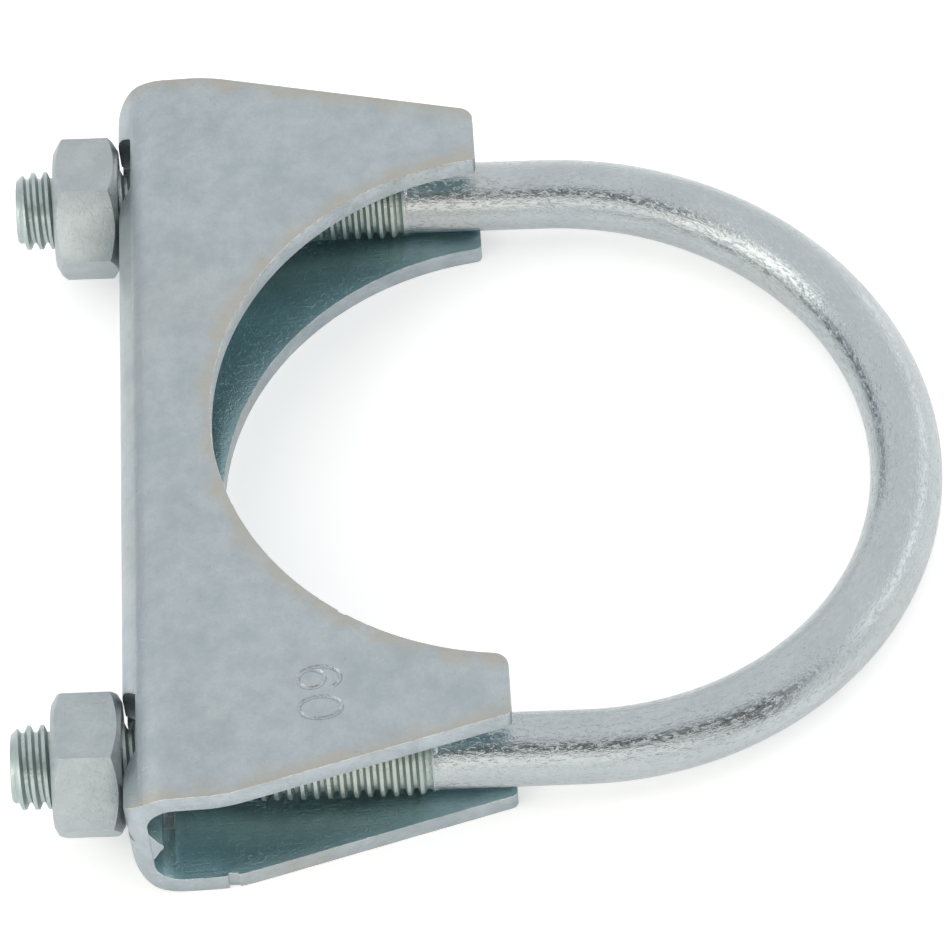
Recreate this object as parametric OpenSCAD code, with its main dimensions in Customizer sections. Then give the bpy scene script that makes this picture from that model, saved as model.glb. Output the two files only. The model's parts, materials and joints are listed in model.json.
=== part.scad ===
// U-bolt exhaust clamp: a folded sheet saddle, a bent rod with two threaded legs, and two hex nuts.
// Millimetres. The origin is on the axis of the pipe seat, half way across the saddle.
// X runs along the legs towards the bow, Y from leg to leg, Z up out of the flanges.
// The clamp lies on one flange with its nuts slack, so the bow has dropped on to the same surface.

/* [Pipe] */
// Outside diameter of the pipe that the clamp holds
pipe_d = 60; // [50:1:70]
// Gap between the pipe and each leg of the U-bolt
leg_gap = 0.2; // [0.1:0.05:0.8]

/* [Saddle] */
// Width of the saddle over its two flanges
saddle_w = 16.6; // [16.2:0.1:18]
// Thickness of the sheet
sheet_t = 2.2; // [1.8:0.1:2.4]
// Inside radius of the two bends
bend_r = 2.8; // [2:0.1:3.2]
// Metal between the web's outside and the middle of the pipe seat
seat_depth = 9.2; // [8.5:0.1:12]
// Metal beyond the centre line of each leg
end_margin = 9.55; // [9:0.05:12]
// Length of the end edge that is square to the web
end_straight = 9.5; // [8:0.1:12]
// Radius where the square end edge turns into the taper
taper_blend_r = 14; // [4:1:20]
// Radius of the sheet's corners at the web
heel_r = 2.6; // [0.5:0.1:3]
// Distance of the flange tips behind the pipe's axis
tip_setback = 2.7; // [1:0.1:5]
// Width of each flange tip
tip_w = 6.6; // [5.5:0.1:8]
// Radius of each flange tip's corner on the left side
tip_round_r = 1.5; // [0.8:0.1:2.4]
// Radius of each flange tip's corner on the right side
tip_sharp_r = 0.7; // [0.4:0.1:1.6]

/* [Bead] */
// Height of the stiffening bead inside the web
bead_h = 1.1; // [0.6:0.1:1.4]
// Width of the bead at its foot
bead_w = 4.6; // [3.6:0.1:5]
// Radius of the bead's crest
bead_crest_r = 0.8; // [0.5:0.1:0.9]
// Depth of the crease that the press leaves outside
crease_depth = 0.8; // [0.4:0.1:1]
// Width of that crease at the surface
crease_w = 1.5; // [1:0.1:2]

/* [Bolt slots] */
// Play of a leg in its slot, each side, along the saddle
slot_play_l = 1.4; // [1:0.1:1.8]
// Reach of each slot to either side of the middle, where it cuts the outside of the bends
slot_reach_w = 6.9; // [6.6:0.05:7.1]
// Lean of the slot's two end walls, which the fold turned outwards
slot_wall_lean = 24; // [18:1:28]

/* [U-bolt] */
// Diameter of the plain rod
rod_d = 7.1; // [6.8:0.05:7.4]
// Outside diameter of the thread
thread_d = 7.95; // [7.8:0.05:8]
// Length of each leg from its end to the bow's centre
leg_l = 54.2; // [50:0.2:60]
// Drop of the slack legs in their slots
slack_sink = 0.3; // [0:0.05:0.35]
// Length of the thread, run-out left aside
thread_l = 38.8; // [32:0.2:40]
// Length over which the thread runs out on to the rod
run_out_l = 1.2; // [0.6:0.1:2]
// Length of the chamfer at each thread's end
end_chamfer_l = 0.9; // [0.5:0.1:1.2]
// Diameter of each thread's end face
end_face_d = 6.3; // [5.8:0.1:6.8]

/* [Nuts] */
// Width across the flats
nut_af = 13; // [12.8:0.1:13.4]
// Thickness of a nut
nut_h = 6.6; // [6:0.1:7.2]
// Diameter of the flat ring left by the chamfers
nut_face_d = 11.7; // [11.2:0.1:12.4]
// Slope of the chamfers
nut_chamfer_angle = 30; // [20:1:35]
// Width of the countersink at each end of the thread
countersink_d = 8.9; // [8.6:0.1:9.4]
// Play between a nut and the thread, measured on the radius
thread_fit = 0.05; // [0.02:0.01:0.09]
// Gap between the nuts and the web, measured on a leg's axis
nut_gap = 0.3; // [0.2:0.05:1]
// Length of thread that stands out past each nut
thread_past_nut = 3.9; // [2:0.05:5]
// Turn of the left nut about its leg
left_nut_turn = 25; // [0:1:59]
// Turn of the right nut about its leg
right_nut_turn = 27; // [0:1:59]

/* [Hidden] */
$fn = 96;
// Overlap that lets a cutter pass clean through a face
past = 1;
corner_steps = 10;
zinc = [0.70, 0.73, 0.75];
bright_zinc = [0.76, 0.79, 0.80];

pipe_r = pipe_d / 2;
rod_r = rod_d / 2;
thread_r = thread_d / 2;
leg_y = pipe_r + leg_gap + rod_r;

half_w = saddle_w / 2;
outer_bend_r = bend_r + sheet_t;
web_x = -(pipe_r + seat_depth);
web_inside_x = web_x + sheet_t;
end_y = leg_y + end_margin;
tip_x = -tip_setback;
tip_inner_y = sqrt(pipe_r * pipe_r - tip_setback * tip_setback);
tip_outer_y = tip_inner_y + tip_w;
slot_r = thread_r + slot_play_l;
// Depth below the web's outside at which a slot meets the outside of the bends
slot_bend_depth = outer_bend_r - sqrt(pow(outer_bend_r, 2) - pow(slot_reach_w - half_w + outer_bend_r, 2));

// Places along a leg, counted from the middle of the web towards the bow
nut_seat_s = -(sheet_t / 2 + nut_gap);
nut_outer_s = nut_seat_s - nut_h;
leg_end_s = nut_outer_s - thread_past_nut;
run_out_s = leg_end_s + thread_l;
bow_s = leg_end_s + leg_l;
bow_r = leg_y;
// The slack bow rests on the plane of the lower flange
droop = asin((half_w - rod_r - slack_sink) / (bow_s + bow_r));

nut_corner_r = nut_af / 2 / cos(30);
nut_face_r = nut_face_d / 2;
nut_chamfer_h = (nut_corner_r - nut_face_r) * tan(nut_chamfer_angle);
nut_bore_r = thread_r + thread_fit;
countersink_h = (countersink_d / 2 - nut_bore_r);

function unit(v) = v / norm(v);

// The points of a round corner at p between the neighbours a and b
function round_corner(a, p, b, r) =
    let (
        u = unit(a - p),
        v = unit(b - p),
        half = acos(u * v) / 2,
        centre = p + unit(u + v) * r / sin(half),
        from = p + u * r / tan(half) - centre,
        to = p + v * r / tan(half) - centre,
        start = atan2(from[1], from[0]),
        swing = (atan2(to[1], to[0]) - start + 540) % 360 - 180
    )
    [for (i = [0:corner_steps]) let (w = start + swing * i / corner_steps) centre + r * [cos(w), sin(w)]];

// An outline whose corners, each [x, y, radius], are rounded in turn
function rounded(corners) =
    let (
        n = len(corners),
        p = [for (c = corners) [c[0], c[1]]]
    )
    [for (i = [0:n - 1]) each round_corner(p[(i + n - 1) % n], p[i], p[(i + 1) % n], corners[i][2])];

// A U seen along the fold: a web at x with two round bends and straight sides
module channel_outline(x, half, r) {
    translate([x + r, -half]) square([-x, 2 * half]);
    translate([x, r - half]) square([r + past, 2 * (half - r)]);
    for (side = [-1, 1]) translate([x + r, side * (half - r)]) circle(r);
}

// The ridge that the bead raises inside the web
module bead_ridge() {
    crest_x = web_inside_x + bead_h - bead_crest_r;
    translate([crest_x, 0]) circle(bead_crest_r);
    polygon([
        [web_inside_x - sheet_t / 4, -bead_w / 2],
        [web_inside_x, -bead_w / 2],
        [crest_x + bead_crest_r / 2, -bead_crest_r * cos(30)],
        [crest_x + bead_crest_r / 2, bead_crest_r * cos(30)],
        [web_inside_x, bead_w / 2],
        [web_inside_x - sheet_t / 4, bead_w / 2]
    ]);
}

// The crease outside the web, opposite the bead
module bead_crease() {
    polygon([
        [web_x - past, -crease_w / 2 * (1 + past / crease_depth)],
        [web_x + crease_depth, 0],
        [web_x - past, crease_w / 2 * (1 + past / crease_depth)]
    ]);
}

// The folded sheet's section, X to the right and Z up
module fold_section() {
    difference() {
        union() {
            difference() {
                channel_outline(web_x, half_w, outer_bend_r);
                channel_outline(web_inside_x, half_w - sheet_t, bend_r);
            }
            bead_ridge();
        }
        bead_crease();
    }
}

// One flange seen from above: square at the web, tapered towards two round tips
module flange_outline() {
    taper_x = web_x + end_straight;
    difference() {
        polygon(rounded([
            [web_x, -end_y, heel_r],
            [taper_x, -end_y, taper_blend_r],
            [tip_x, -tip_outer_y, tip_sharp_r],
            [tip_x, tip_outer_y, tip_round_r],
            [taper_x, end_y, taper_blend_r],
            [web_x, end_y, heel_r]
        ]));
        circle(pipe_r);
        tip_inner_round(-1, tip_round_r);
        tip_inner_round(1, tip_sharp_r);
    }
}

// What rounds the corner between a tip's edge and the pipe seat by the radius r
module tip_inner_round(side, r) {
    // centre of the round: r inside the tip's edge and r outside the seat
    cx = tip_x - r;
    cy = sqrt(pow(pipe_r + r, 2) - cx * cx);
    seat_point = [cx, cy] * pipe_r / (pipe_r + r);
    difference() {
        polygon([
            [seat_point[0], side * seat_point[1]],
            [cx, side * cy],
            [tip_x, side * cy],
            [tip_x + past, side * cy],
            [tip_x + past, side * (seat_point[1] - past)],
            [seat_point[0], side * (seat_point[1] - past)]
        ]);
        translate([cx, side * cy]) circle(r);
    }
}

// Lays a shape drawn along Z on to the +X direction, at a leg of the given side
module on_leg(side) {
    translate([web_x, side * leg_y, 0]) rotate([0, 90, 0]) children();
}

// The slot of one leg, through the web and into both bends, with end walls that lean in
module slot_cut(side) {
    cut_h = past + sheet_t + 2 * bead_h;
    narrow = tan(slot_wall_lean);
    outer_z = slot_reach_w + (slot_bend_depth + past) * narrow;
    inner_z = outer_z - cut_h * narrow;
    intersection() {
        on_leg(side) translate([0, 0, -past]) linear_extrude(cut_h) {
            for (end = [-1, 1]) translate([end * (outer_z - slot_r), 0]) circle(slot_r);
            square([2 * (outer_z - slot_r), 2 * slot_r], center = true);
        }
        translate([web_x - past, side * leg_y + slot_r + past, 0]) rotate([90, 0, 0])
            linear_extrude(2 * (slot_r + past)) polygon([
                [0, -outer_z],
                [cut_h, -inner_z],
                [cut_h, inner_z],
                [0, outer_z]
            ]);
    }
}

// The long folded strip with its bead
module pressed_strip() {
    translate([0, end_y + past, 0]) rotate([90, 0, 0]) linear_extrude(2 * (end_y + past)) fold_section();
}

module saddle() {
    color(zinc) difference() {
        intersection() {
            pressed_strip();
            translate([0, 0, -half_w - past]) linear_extrude(saddle_w + 2 * past) flange_outline();
        }
        for (side = [-1, 1]) slot_cut(side);
    }
}

// Puts what is drawn along the legs in place: X counted from the middle of the web
module drooped() {
    translate([web_x + sheet_t / 2, 0, -slack_sink]) rotate([0, droop, 0]) children();
}

// One leg: end face, chamfer, thread, run-out and plain rod, along +X
module leg() {
    rotate([0, 90, 0]) rotate_extrude() polygon([
        [0, leg_end_s],
        [end_face_d / 2, leg_end_s],
        [thread_r, leg_end_s + end_chamfer_l],
        [thread_r, run_out_s],
        [rod_r, run_out_s + run_out_l],
        [rod_r, bow_s],
        [0, bow_s]
    ]);
}

module u_bolt() {
    color(bright_zinc) drooped() {
        for (side = [-1, 1]) translate([0, side * leg_y, 0]) leg();
        translate([bow_s, 0, 0]) rotate([0, 0, -90]) rotate_extrude(angle = 180) translate([bow_r, 0]) circle(rod_r);
    }
}

// The body that both chamfers of a nut leave
module nut_chamfers() {
    rotate_extrude() polygon([
        [0, 0],
        [nut_face_r, 0],
        [nut_corner_r, nut_chamfer_h],
        [nut_corner_r, nut_h - nut_chamfer_h],
        [nut_face_r, nut_h],
        [0, nut_h]
    ]);
}

module nut_bore() {
    translate([0, 0, -past]) cylinder(h = nut_h + 2 * past, r = nut_bore_r);
    for (end = [0, 1]) translate([0, 0, end * nut_h]) mirror([0, 0, end])
        translate([0, 0, -past]) cylinder(h = countersink_h + past, r1 = countersink_d / 2 + past, r2 = nut_bore_r);
}

module nut(side, turn) {
    color(bright_zinc) drooped() translate([nut_outer_s, side * leg_y, 0]) rotate([0, 90, 0]) rotate([0, 0, turn])
        difference() {
            intersection() {
                cylinder(h = nut_h, r = nut_corner_r, $fn = 6);
                nut_chamfers();
            }
            nut_bore();
        }
}

module left_nut() {
    nut(1, left_nut_turn);
}

module right_nut() {
    nut(-1, right_nut_turn);
}

saddle();
u_bolt();
left_nut();
right_nut();
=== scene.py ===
"""Looks for the exhaust clamp: a folded zinc-plated saddle, a U-bolt with rolled threads, and two hex nuts.

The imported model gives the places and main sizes. The saddle, the U-bolt and the nuts are modelled again here, in
millimetres, with the thread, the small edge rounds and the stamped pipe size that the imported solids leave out, and
each finished piece is scaled to metres before it takes the place of its node.
"""

import json
import logging
import math
from dataclasses import dataclass, field
from enum import Enum
from typing import Callable, Iterable, Sequence

import bmesh
import bpy
from mathutils import Matrix, Vector

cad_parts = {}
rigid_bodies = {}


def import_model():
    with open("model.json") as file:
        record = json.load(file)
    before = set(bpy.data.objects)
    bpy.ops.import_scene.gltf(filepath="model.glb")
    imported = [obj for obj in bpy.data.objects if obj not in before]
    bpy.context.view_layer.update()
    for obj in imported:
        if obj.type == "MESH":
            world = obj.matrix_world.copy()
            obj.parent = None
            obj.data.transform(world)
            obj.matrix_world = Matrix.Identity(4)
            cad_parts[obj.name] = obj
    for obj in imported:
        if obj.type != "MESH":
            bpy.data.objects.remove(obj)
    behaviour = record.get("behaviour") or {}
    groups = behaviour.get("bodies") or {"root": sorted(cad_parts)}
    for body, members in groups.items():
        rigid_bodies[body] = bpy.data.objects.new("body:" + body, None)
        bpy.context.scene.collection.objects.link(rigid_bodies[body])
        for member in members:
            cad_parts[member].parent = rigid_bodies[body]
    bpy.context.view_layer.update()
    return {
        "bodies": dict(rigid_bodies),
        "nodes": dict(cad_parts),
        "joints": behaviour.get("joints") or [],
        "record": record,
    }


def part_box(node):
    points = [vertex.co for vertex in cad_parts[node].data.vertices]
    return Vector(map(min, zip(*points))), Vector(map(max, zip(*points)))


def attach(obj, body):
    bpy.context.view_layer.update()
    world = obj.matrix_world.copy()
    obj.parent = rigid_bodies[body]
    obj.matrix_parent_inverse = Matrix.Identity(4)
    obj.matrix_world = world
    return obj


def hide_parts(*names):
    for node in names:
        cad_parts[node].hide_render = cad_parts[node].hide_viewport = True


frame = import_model()

MM = 0.001
log = logging.getLogger("exhaust_clamp")

Test = Callable[[Vector, Vector], bool]


class Side(Enum):
    """The two legs of the U-bolt, by the sign of their Y."""

    LEFT = 1
    RIGHT = -1

    @property
    def node(self) -> str:
        """Name of the nut's node and body on this side."""
        return f"{self.name.lower()}_nut"


class Cut(Enum):
    """What a cutting or joining shape does to the piece it is used on."""

    REMOVE = "DIFFERENCE"
    KEEP = "INTERSECT"
    JOIN = "UNION"


class SheetFace(Enum):
    """Material slots of the saddle's mesh."""

    PLATED = 0
    SHEARED = 1
    # Rounded sheared edges: a brighter finish, partly the fresh sheared metal and partly a painted highlight.
    EDGE = 2
    # The inside of the fold: the same plating, with a teal colour that paints the reflection seen there.
    INSIDE = 3


@dataclass(frozen=True)
class Layout:
    """Main sizes of the clamp in millimetres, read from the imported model.

    Attributes:
        pipe_r: Radius of the pipe seat.
        half_w: Half the saddle's width over its flanges.
        web_x: Outside of the web.
        tip_x: Ends of the flange tips.
        end_y: Ends of the saddle.
        leg_y: Centre line of the left leg.
        droop: Angle, in radians, by which the slack U-bolt has dropped.
        sink: How far the legs have dropped in their slots.
        sheet_t: Thickness of the sheet.
    """

    pipe_r: float
    half_w: float
    web_x: float
    tip_x: float
    end_y: float
    leg_y: float
    droop: float
    sink: float
    sheet_t: float = 2.2

    @classmethod
    def from_frame(cls, packed: dict) -> "Layout":
        """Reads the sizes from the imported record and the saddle's box.


        Returns:
            The layout in millimetres.
        """
        low, high = (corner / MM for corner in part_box("saddle"))
        record = packed["record"]
        joints = {joint["name"]: joint for joint in record["behaviour"]["joints"]}
        axis = joints["bolt_slide"]["axis"]
        x, y, z = (value / MM for value in joints["left_nut_turn"]["pos_m"])
        return cls(
            pipe_r=record["mounts"][0]["dims"]["r_mm"],
            half_w=high.z,
            web_x=low.x,
            tip_x=high.x,
            end_y=high.y,
            leg_y=y,
            droop=math.asin(-axis[2]),
            sink=(x - low.x - cls.sheet_t / 2) * axis[2] / axis[0] - z,
        )

    @property
    def hinge_x(self) -> float:
        """Middle of the web, about which the U-bolt has dropped."""
        return self.web_x + self.sheet_t / 2

    @property
    def bolt_matrix(self) -> Matrix:
        """Place of the slack U-bolt: X along the legs, counted from the middle of the web."""
        return Matrix.Translation((self.hinge_x, 0, -self.sink)) @ Matrix.Rotation(self.droop, 4, "Y")

    def leg_matrix(self, side: Side) -> Matrix:
        """Place of one leg: X along the leg, counted from the middle of the web.

        Args:
            side: Which leg.

        Returns:
            The matrix from leg coordinates to the row's frame, in millimetres.
        """
        return self.bolt_matrix @ Matrix.Translation((0, side.value * self.leg_y, 0))


# ---- Modelling helpers


def pick_only(obj: bpy.types.Object) -> None:
    """Makes obj the only selected object, and the active one."""
    if bpy.context.object and bpy.context.object.mode != "OBJECT":
        bpy.ops.object.mode_set(mode="OBJECT")
    bpy.ops.object.select_all(action="DESELECT")
    obj.select_set(True)
    bpy.context.view_layer.objects.active = obj


def primitive(add: Callable, name: str, **options) -> bpy.types.Object:
    """Adds a primitive with its place in its mesh.

    Args:
        add: The operator that adds it.
        name: Name of the new object.
        options: Options of the operator, in millimetres.

    Returns:
        The new object, at the origin, unturned and unscaled.
    """
    bpy.ops.object.select_all(action="DESELECT")
    add(**options)
    obj = bpy.context.object
    obj.name = name
    bpy.ops.object.transform_apply(location=True, rotation=True, scale=True)
    return obj


def start_edit(obj: bpy.types.Object, kind: str = "FACE") -> None:
    """Opens obj in edit mode with nothing selected.

    Args:
        obj: A mesh object.
        kind: What is selected from now on: VERT, EDGE or FACE.
    """
    pick_only(obj)
    bpy.ops.object.mode_set(mode="EDIT")
    bpy.ops.mesh.select_mode(type=kind)
    bpy.ops.mesh.select_all(action="DESELECT")


def end_edit() -> None:
    """Goes back to object mode."""
    bpy.ops.object.mode_set(mode="OBJECT")


def select_faces(test: Test) -> None:
    """Selects the faces of the edited mesh that pass a test.

    Args:
        test: Takes a face's centre and normal.
    """
    bpy.ops.mesh.select_mode(type="FACE")
    bpy.ops.mesh.select_all(action="DESELECT")
    mesh = bpy.context.object.data
    shape = bmesh.from_edit_mesh(mesh)
    shape.normal_update()
    for face in shape.faces:
        face.select_set(test(face.calc_center_median(), face.normal))
    bmesh.update_edit_mesh(mesh)


def select_verts(test: Callable[[Vector], bool]) -> None:
    """Selects the vertices of the edited mesh that pass a test.

    Args:
        test: Takes a vertex's place.
    """
    bpy.ops.mesh.select_mode(type="VERT")
    bpy.ops.mesh.select_all(action="DESELECT")
    mesh = bpy.context.object.data
    shape = bmesh.from_edit_mesh(mesh)
    for vert in shape.verts:
        vert.select_set(test(vert.co))
    shape.select_flush(True)
    bmesh.update_edit_mesh(mesh)


def select_edges(test: Callable[[Vector, Vector], bool]) -> None:
    """Selects the edges of the edited mesh that pass a test.

    Args:
        test: Takes the places of an edge's two ends.
    """
    bpy.ops.mesh.select_mode(type="EDGE")
    bpy.ops.mesh.select_all(action="DESELECT")
    mesh = bpy.context.object.data
    shape = bmesh.from_edit_mesh(mesh)
    for edge in shape.edges:
        edge.select_set(test(edge.verts[0].co, edge.verts[1].co))
    bmesh.update_edit_mesh(mesh)


def bisect_all(place: Sequence[float], normal: Sequence[float], **options) -> None:
    """Cuts the whole edited mesh with a plane.

    Args:
        place: A point of the plane.
        normal: The plane's normal.
        options: Such as use_fill and clear_outer.
    """
    bpy.ops.mesh.select_all(action="SELECT")
    bpy.ops.mesh.bisect(plane_co=place, plane_no=normal, **options)


def extrude(step: Sequence[float]) -> None:
    """Extrudes the selected faces, edges or vertices of the edited mesh by a step."""
    bpy.ops.mesh.extrude_region_move(TRANSFORM_OT_translate={"value": step})


def close_up(obj: bpy.types.Object, merge: float = 1e-4) -> None:
    """Merges the doubles of a mesh and turns its faces outwards.

    Args:
        obj: A mesh object.
        merge: Distance within which vertices become one.
    """
    start_edit(obj)
    bpy.ops.mesh.select_all(action="SELECT")
    bpy.ops.mesh.remove_doubles(threshold=merge)
    bpy.ops.mesh.normals_make_consistent(inside=False)
    end_edit()


def stitch(obj: bpy.types.Object, near: float = 1e-3) -> None:
    """Closes slits of no width, where one side's edge lacks the vertices of the other side.

    Args:
        obj: A mesh object.
        near: How near an edge a vertex counts as on it.
    """
    start_edit(obj, "EDGE")
    shape = bmesh.from_edit_mesh(obj.data)
    rim = [edge for edge in shape.edges if len(edge.link_faces) == 1]
    verts = {vert for edge in rim for vert in edge.verts}
    for edge in rim:
        start, end = edge.verts
        way = (end.co - start.co).normalized()
        length = (end.co - start.co).length
        between = []
        for vert in verts - {start, end}:
            along = (vert.co - start.co).dot(way)
            if near < along < length - near and (vert.co - start.co - way * along).length < near:
                between.append(vert.co.copy())
        for place in sorted(between, key=lambda co: (co - end.co).length, reverse=True):
            share = (place - start.co).length / (end.co - start.co).length
            _, start = bmesh.utils.edge_split(edge, start, share)
            edge = next(link for link in start.link_edges if end in link.verts)
    bmesh.update_edit_mesh(obj.data)
    end_edit()
    close_up(obj, near)


def apply_modifier(obj: bpy.types.Object, kind: str, **settings) -> None:
    """Adds a modifier, sets it and applies it.

    Args:
        obj: A mesh object.
        kind: Blender's name of the modifier.
        settings: The modifier's settings.
    """
    pick_only(obj)
    modifier = obj.modifiers.new(kind.title(), kind)
    for key, value in settings.items():
        setattr(modifier, key, value)
    bpy.ops.object.modifier_apply(modifier=modifier.name)


def combine(obj: bpy.types.Object, tool: bpy.types.Object, cut: Cut) -> None:
    """Uses one closed shape on another, and deletes it.

    Args:
        obj: The piece.
        tool: The shape that cuts it, joins it or keeps a share of it.
        cut: What the shape does.
    """
    apply_modifier(obj, "BOOLEAN", object=tool, operation=cut.value, solver="EXACT")
    bpy.data.objects.remove(tool, do_unlink=True)
    close_up(obj, 1e-3)


def mark_faces(obj: bpy.types.Object, index: int) -> None:
    """Puts every face of obj in one material slot, which a cut carries over."""
    obj.data.polygons.foreach_set("material_index", [index] * len(obj.data.polygons))


def open_edges(obj: bpy.types.Object) -> int:
    """Number of edges that don't have exactly two faces."""
    shape = bmesh.new()
    shape.from_mesh(obj.data)
    count = sum(1 for edge in shape.edges if len(edge.link_faces) != 2)
    shape.free()
    return count


def finish_piece(obj: bpy.types.Object, body: str, smooth: float) -> None:
    """Scales a finished piece to metres, smooths it and lets it stand for its node.

    Args:
        obj: The piece, in millimetres.
        body: Its body, which has the name of its node.
        smooth: Edges flatter than this angle, in degrees, look round.
    """
    obj.data.transform(Matrix.Scale(MM, 4))
    pick_only(obj)
    bpy.ops.object.shade_smooth_by_angle(angle=math.radians(smooth))
    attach(obj, body)
    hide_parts(body)
    log.info("%s: %d faces, %d open edges", obj.name, len(obj.data.polygons), open_edges(obj))


# ---- Finishes


class Graph:
    """A node tree under construction, with short calls for the nodes that the finishes share."""

    def __init__(self, tree: bpy.types.NodeTree) -> None:
        """Starts on an empty tree."""
        self.tree = tree
        tree.nodes.clear()

    def add(self, kind: str, settings: dict | None = None, **inputs) -> bpy.types.Node:
        """Adds a node.

        Args:
            kind: Blender's type of the node.
            settings: Attributes of the node.
            inputs: Values or output sockets for its inputs, by name, spaces as underscores.

        Returns:
            The node.
        """
        node = self.tree.nodes.new(kind)
        for key, value in (settings or {}).items():
            setattr(node, key, value)
        for key, value in inputs.items():
            self.feed(node.inputs[key.replace("_", " ")], value)
        return node

    def feed(self, socket: bpy.types.NodeSocket, value) -> None:
        """Links an output to a socket, or sets the socket's own value."""
        if isinstance(value, bpy.types.NodeSocket):
            self.tree.links.new(value, socket)
        else:
            socket.default_value = value

    def math(self, operation: str, *terms) -> bpy.types.NodeSocket:
        """Adds a Math node.

        Args:
            operation: Its operation.
            terms: Values or output sockets.

        Returns:
            The result.
        """
        node = self.add("ShaderNodeMath", {"operation": operation})
        for socket, term in zip(node.inputs, terms):
            self.feed(socket, term)
        return node.outputs[0]

    def ramp(self, value, low: float, high: float, to_low: float = 0.0, to_high: float = 1.0) -> bpy.types.NodeSocket:
        """Maps a value smoothly from one range to another.

        Args:
            value: The output socket to map.
            low: Start of its range.
            high: End of its range.
            to_low: Result at the start.
            to_high: Result at the end.

        Returns:
            The mapped value.
        """
        node = self.add("ShaderNodeMapRange", {"interpolation_type": "SMOOTHSTEP"}, Value=value)
        for key, number in (("From Min", low), ("From Max", high), ("To Min", to_low), ("To Max", to_high)):
            self.feed(node.inputs[key], number)
        return node.outputs["Result"]

    def mix(self, factor, first, second, blend: str = "MIX") -> bpy.types.NodeSocket:
        """Mixes two colours.

        Args:
            factor: How much of the second shows.
            first: Colour or output socket.
            second: Colour or output socket.
            blend: Blender's blend type.

        Returns:
            The mixed colour.
        """
        node = self.add("ShaderNodeMix", {"data_type": "RGBA", "blend_type": blend})
        self.feed(node.inputs["Factor"], factor)
        for socket, value in ((node.inputs[6], first), (node.inputs[7], second)):
            self.feed(socket, value)
        return node.outputs[2]

    def noise(self, place, scale: float, detail: float = 3.0, rough: float = 0.55) -> bpy.types.NodeSocket:
        """Adds a noise texture.

        Args:
            place: Output socket with the place, in millimetres.
            scale: Patches for each millimetre.
            detail: Octaves.
            rough: Share of the finer octaves.

        Returns:
            Its value, about 0 to 1.
        """
        node = self.add("ShaderNodeTexNoise", Vector=place, Scale=scale, Detail=detail, Roughness=rough)
        return node.outputs["Fac"]


def new_group(name: str, inputs: dict[str, float], outputs: Iterable[str]) -> tuple[bpy.types.NodeTree, Graph, dict]:
    """Starts a shader node group that reads a place in millimetres.

    Args:
        name: Name of the group.
        inputs: Names and defaults of its number sockets.
        outputs: Names of the values that it puts out.

    Returns:
        The group, its graph, and its input sockets by name.
    """
    group = bpy.data.node_groups.new(name, "ShaderNodeTree")
    graph = Graph(group)
    group.interface.new_socket("Place", in_out="INPUT", socket_type="NodeSocketVector")
    for label, default in inputs.items():
        socket = group.interface.new_socket(label, in_out="INPUT", socket_type="NodeSocketFloat")
        socket.default_value = default
    for label in outputs:
        group.interface.new_socket(label, in_out="OUTPUT", socket_type="NodeSocketFloat")
    entry = group.nodes.new("NodeGroupInput")
    return group, graph, {socket.name: socket for socket in entry.outputs}


def close_group(graph: Graph, results: dict[str, bpy.types.NodeSocket]) -> None:
    """Links the results of a group to its outputs by name."""
    leave = graph.tree.nodes.new("NodeGroupOutput")
    for label, socket in results.items():
        graph.tree.links.new(socket, leave.inputs[label])


def stretched(g: Graph, place, share) -> bpy.types.NodeSocket:
    """Squeezes a place along X, so that what is drawn at it comes out long along X.

    Args:
        g: The graph to add to.
        place: Output socket with the place.
        share: Value or output socket, 1 for no stretch.

    Returns:
        The squeezed place.
    """
    squeeze = g.add("ShaderNodeCombineXYZ", X=share, Y=1.0, Z=1.0)
    along = g.add("ShaderNodeVectorMath", {"operation": "MULTIPLY"})
    g.feed(along.inputs[0], place)
    g.feed(along.inputs[1], squeeze.outputs[0])
    return along.outputs[0]


def plating_group() -> bpy.types.NodeTree:
    """Makes the group for zinc plating: soft clouds, fine grain, pits, and small dull specks.

    Returns:
        The group, with the outputs Clouds, Grain, Pits and Specks.
    """
    group, g, given = new_group("zinc plating", {"Stretch": 1.0}, ("Clouds", "Grain", "Pits", "Specks"))
    place = stretched(g, given["Place"], given["Stretch"])
    clouds = g.ramp(g.noise(place, 0.3, 6.0, 0.72), 0.32, 0.68)
    grain = g.noise(place, 3.6, 3.0, 0.7)
    pits = g.ramp(g.noise(place, 2.6, 3.0, 0.65), 0.48, 0.32)
    specks = g.ramp(g.noise(place, 1.6, 5.0, 0.8), 0.38, 0.28)
    close_group(g, {"Clouds": clouds, "Grain": grain, "Pits": pits, "Specks": specks})
    return group


def streak_group() -> bpy.types.NodeTree:
    """Makes the group for drawing and rolling marks, long along the X of its place.

    Returns:
        The group, with the outputs Streaks and Scratches.
    """
    group, g, given = new_group("drawing streaks", {"Stretch": 0.06}, ("Streaks", "Scratches"))
    place = stretched(g, given["Place"], given["Stretch"])
    streaks = g.ramp(g.noise(place, 0.9, 4.0, 0.6), 0.33, 0.67)
    scratches = g.ramp(g.noise(place, 5.0, 2.0, 0.5), 0.60, 0.72)
    close_group(g, {"Streaks": streaks, "Scratches": scratches})
    return group


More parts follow.
